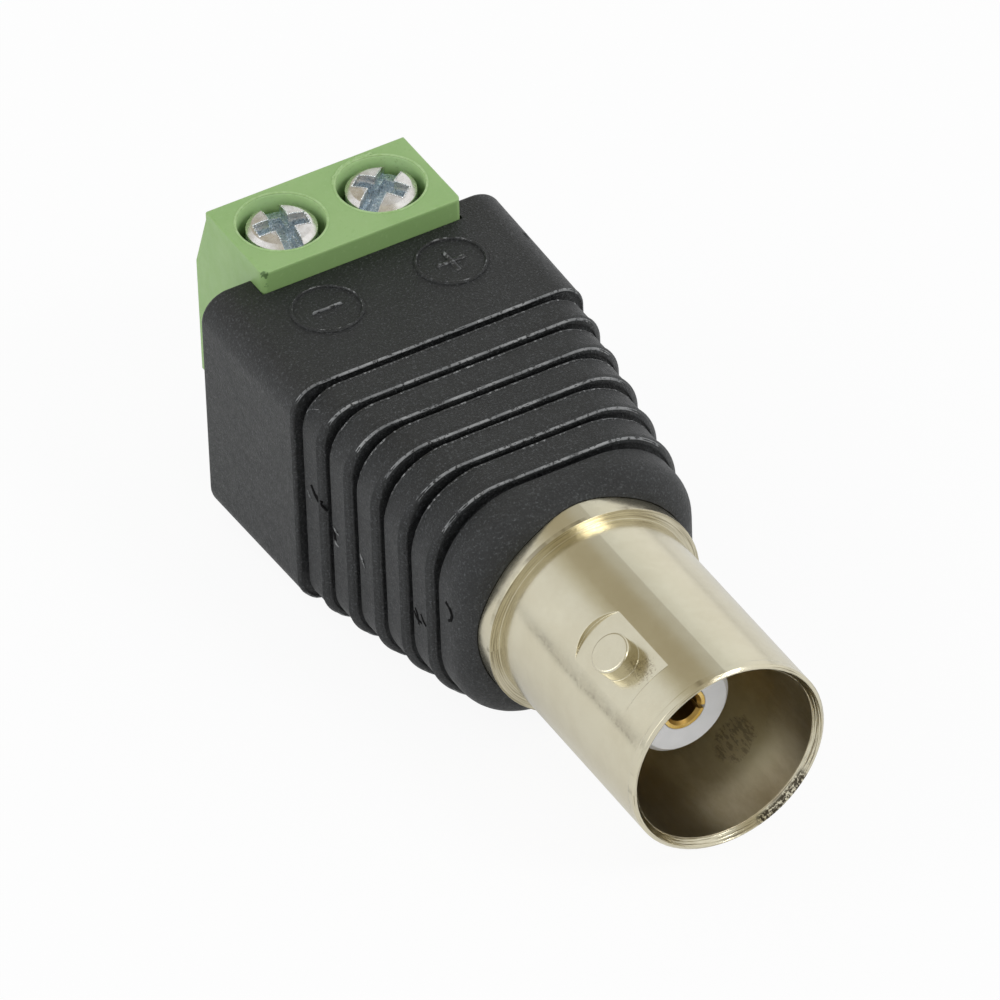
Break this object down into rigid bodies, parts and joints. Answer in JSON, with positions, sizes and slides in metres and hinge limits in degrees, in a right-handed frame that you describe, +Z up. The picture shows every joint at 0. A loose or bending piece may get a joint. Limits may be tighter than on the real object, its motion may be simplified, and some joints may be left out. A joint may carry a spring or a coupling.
{
  "type": "bnc screw terminal adapter",
  "caption": "Bayonet coaxial socket moulded into a ribbed black plastic body, with a green screw terminal block at the back that clamps the bare wires of a video lead.",
  "frame": {"origin": "middle of the bounding box in X and Y, on the plane under the body's bottom face", "axes": "-Y out of the mouth of the coaxial barrel, +Y out of the wire entries, +Z up out of the terminal screws, +X on the side of the plus terminal"},
  "size_m": [0.0152, 0.0382, 0.0133],
  "materials": {
    "black_plastic": "fine matte moulding texture, with small burrs and marks at the front edges",
    "green_plastic": "smooth satin moulding, with raised rims round the screw wells",
    "nickel_shell": "satin nickel plating on brass, slightly worn at the rim",
    "white_insulator": "white turned plastic",
    "gold_contact": "gilded",
    "zinc_screw": "bright zinc plating",
    "plated_cage": "nickel plating",
    "tinned_copper": "tin plating",
    "red_insulation": "smooth",
    "black_insulation": "smooth",
    "solder": "satin solder"
  },
  "bodies": {
    "adapter": {"body_overmould": "black_plastic", "terminal_housing": "green_plastic", "bnc_shell": "nickel_shell", "contact_insulator": "white_insulator", "centre_contact": "gold_contact", "contact_bar_minus": "tinned_copper", "contact_bar_plus": "tinned_copper", "ground_tag": "tinned_copper", "signal_conductor": "tinned_copper", "signal_insulation": "red_insulation", "ground_conductor": "tinned_copper", "ground_insulation": "black_insulation", "solder_signal": "solder", "solder_ground": "solder", "solder_minus": "solder", "solder_plus": "solder"},
    "screw_minus": {"terminal_screw_minus": "zinc_screw"},
    "screw_plus": {"terminal_screw_plus": "zinc_screw"},
    "clamp_minus": {"wire_clamp_minus": "plated_cage"},
    "clamp_plus": {"wire_clamp_plus": "plated_cage"}
  },
  "joints": [
    {"name": "screw_minus_turn", "type": "hinge", "parent": "adapter", "child": "screw_minus", "pos_m": [-0.00254, 0.01537, 0.0125], "axis": [0, 0, -1], "range_deg": [0, 1440]},
    {"name": "screw_plus_turn", "type": "hinge", "parent": "adapter", "child": "screw_plus", "pos_m": [0.00254, 0.01537, 0.0125], "axis": [0, 0, -1], "range_deg": [0, 1440]},
    {"name": "clamp_minus_rise", "type": "slide", "parent": "adapter", "child": "clamp_minus", "axis": [0, 0, 1], "range_m": [0, 0.0018]},
    {"name": "clamp_plus_rise", "type": "slide", "parent": "adapter", "child": "clamp_plus", "axis": [0, 0, 1], "range_m": [0, 0.0018]}
  ],
  "couplings": [
    {"joint": "screw_minus_turn", "follows": "clamp_minus_rise", "rad_per_m": 13960},
    {"joint": "screw_plus_turn", "follows": "clamp_plus_rise", "rad_per_m": 13960}
  ]
}
